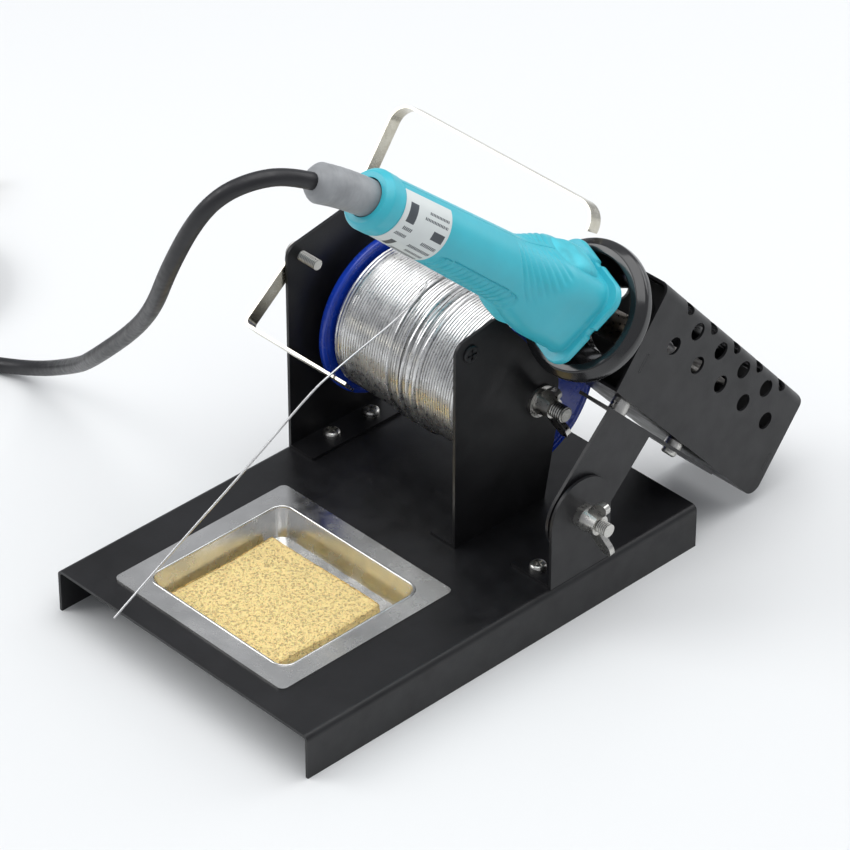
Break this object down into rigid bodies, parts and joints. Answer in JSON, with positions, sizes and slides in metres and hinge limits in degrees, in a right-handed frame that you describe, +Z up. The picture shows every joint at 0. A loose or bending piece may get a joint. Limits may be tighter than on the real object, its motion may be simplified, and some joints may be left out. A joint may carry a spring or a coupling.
{
  "type": "soldering iron station",
  "caption": "Bench station: folded black steel base with sponge tray, solder reel on an axle, wire guide, cord bail, and a tilting perforated guard holding a corded iron",
  "frame": {"origin": "middle of the whole station without its cord, on the table", "axes": "+X to the right seen from the tray's side, +Y from the tray to the guard's far end, +Z up"},
  "size_m": [0.407, 0.2549, 0.2099],
  "materials": {
    "black_coat": "satin powder coat",
    "tinplate": "bright, rolled",
    "zinc": "zinc plated",
    "bright_strip": "polished",
    "sponge": "open-cell, dry",
    "blue_plastic": "moulded gloss",
    "solder": "drawn wire",
    "black_gloss": "moulded gloss",
    "teal_plastic": "moulded satin gloss",
    "pale_teal": "matt soft insert",
    "label_film": "printed film",
    "grey_rubber": "moulded",
    "cord_rubber": "satin",
    "barrel_steel": "heat tinted",
    "ceramic": "glazed ceramic",
    "tip_metal": "iron plated",
    "brass": "bright"
  },
  "bodies": {
    "base": {"base_plate": "black_coat", "left_upright": "black_coat", "right_upright": "black_coat", "upright_screws": "zinc", "upright_nuts": "zinc", "axle_rod": "zinc", "axle_sleeve": "zinc", "axle_nut": "zinc", "axle_washer": "zinc", "solder_tail": "solder", "guide_bolt": "zinc", "bail_bolt": "zinc", "bail_spacer": "zinc", "plate_screw": "black_coat", "wing_bracket": "black_coat", "bracket_screws": "zinc", "bracket_nuts": "zinc", "pivot_washer": "zinc", "pivot_bolt": "zinc", "pivot_nut": "zinc"},
    "tray": {"sponge_tray": "tinplate"},
    "sponge": {"sponge": "sponge"},
    "reel": {"reel": "blue_plastic", "solder_winding": "solder"},
    "guide": {"wire_guide": "bright_strip"},
    "bail": {"bail": "bright_strip"},
    "holder": {"holder_arm": "black_coat", "guard_shell": "black_coat", "guard_floor": "black_coat", "front_plate": "black_coat", "rear_plate": "black_coat", "collar": "black_gloss", "shelf_spacers": "zinc", "shelf_screws": "zinc", "shelf_nuts": "zinc", "cord_coil": "cord_rubber", "cord_end": "cord_rubber", "plug_body": "cord_rubber", "plug_pins": "brass"},
    "iron": {"handle_shell_left": "teal_plastic", "handle_shell_right": "teal_plastic", "thumb_pad_top": "pale_teal", "thumb_pad_bottom": "pale_teal", "label": "label_film", "rear_collar": "teal_plastic", "strain_boot": "grey_rubber", "barrel_nut": "barrel_steel", "heater_barrel": "barrel_steel", "heating_element": "ceramic", "tip": "tip_metal", "terminal_block": "ceramic", "cord_tube": "cord_rubber"},
    "axle_wing_nut": {"axle_wing_nut": "zinc"},
    "pivot_wing_nut": {"pivot_wing_nut": "zinc"}
  },
  "joints": [
    {"name": "tray_lift", "type": "slide", "parent": "base", "child": "tray", "axis": [0, 0, 1], "range_m": [0, 0.0115]},
    {"name": "sponge_lift", "type": "slide", "parent": "tray", "child": "sponge", "axis": [0, 0, 1], "range_m": [0, 0.0095]},
    {"name": "reel_spin", "type": "hinge", "parent": "base", "child": "reel", "pos_m": [-0.02245, 0.03, 0.062], "axis": [1, 0, 0], "continuous": true},
    {"name": "guide_swing", "type": "hinge", "parent": "base", "child": "guide", "pos_m": [-0.0678, -0.005, 0.0985], "axis": [1, 0, 0], "range_deg": [0, 30]},
    {"name": "bail_swing", "type": "hinge", "parent": "base", "child": "bail", "pos_m": [-0.0711, 0.0237, 0.1003], "axis": [1, 0, 0], "range_deg": [0, 16]},
    {"name": "holder_tilt", "type": "hinge", "parent": "base", "child": "holder", "pos_m": [0.0596, 0.0102, 0.0435], "axis": [1, 0, 0], "range_deg": [-1.5, 4]},
    {"name": "iron_draw", "type": "slide", "parent": "holder", "child": "iron", "axis": [-0.1181, -0.7454, 0.6561], "range_m": [0, 0.16]},
    {"name": "axle_wing_nut_turn", "type": "hinge", "parent": "base", "child": "axle_wing_nut", "pos_m": [0.0226, 0.03, 0.062], "axis": [1, 0, 0], "continuous": true},
    {"name": "pivot_wing_nut_turn", "type": "hinge", "parent": "base", "child": "pivot_wing_nut", "pos_m": [0.0656, 0.0102, 0.0435], "axis": [1, 0, 0], "continuous": true}
  ]
}
